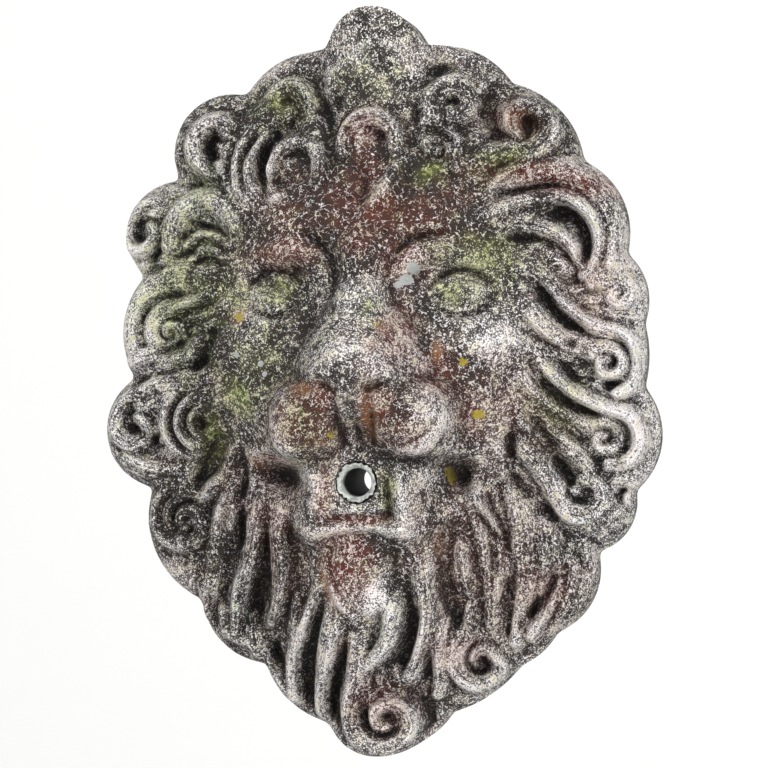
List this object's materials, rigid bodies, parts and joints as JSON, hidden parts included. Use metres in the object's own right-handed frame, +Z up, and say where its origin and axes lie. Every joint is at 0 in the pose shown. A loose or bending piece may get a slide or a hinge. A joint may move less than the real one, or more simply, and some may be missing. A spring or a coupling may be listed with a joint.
{
  "type": "lion head wall fountain",
  "caption": "Lion head fountain mask in weathered cast stone with a curling mane, a flat back for the wall and a metal spout pipe in its mouth.",
  "frame": {"origin": "on the flat back that lies against the wall, in the middle of the mask's width and height", "axes": "+Z up, +Y into the wall, +X to the viewer's right; the face looks along -Y"},
  "size_m": [0.3883, 0.1532, 0.5098],
  "materials": {
    "cast_stone": "rough weathered cast stone with pale crests and moss in the hollows",
    "lead": "dull oxidised lead"
  },
  "bodies": {
    "root": {"lion_mask": "cast_stone", "spout_pipe": "lead"}
  },
  "joints": []
}
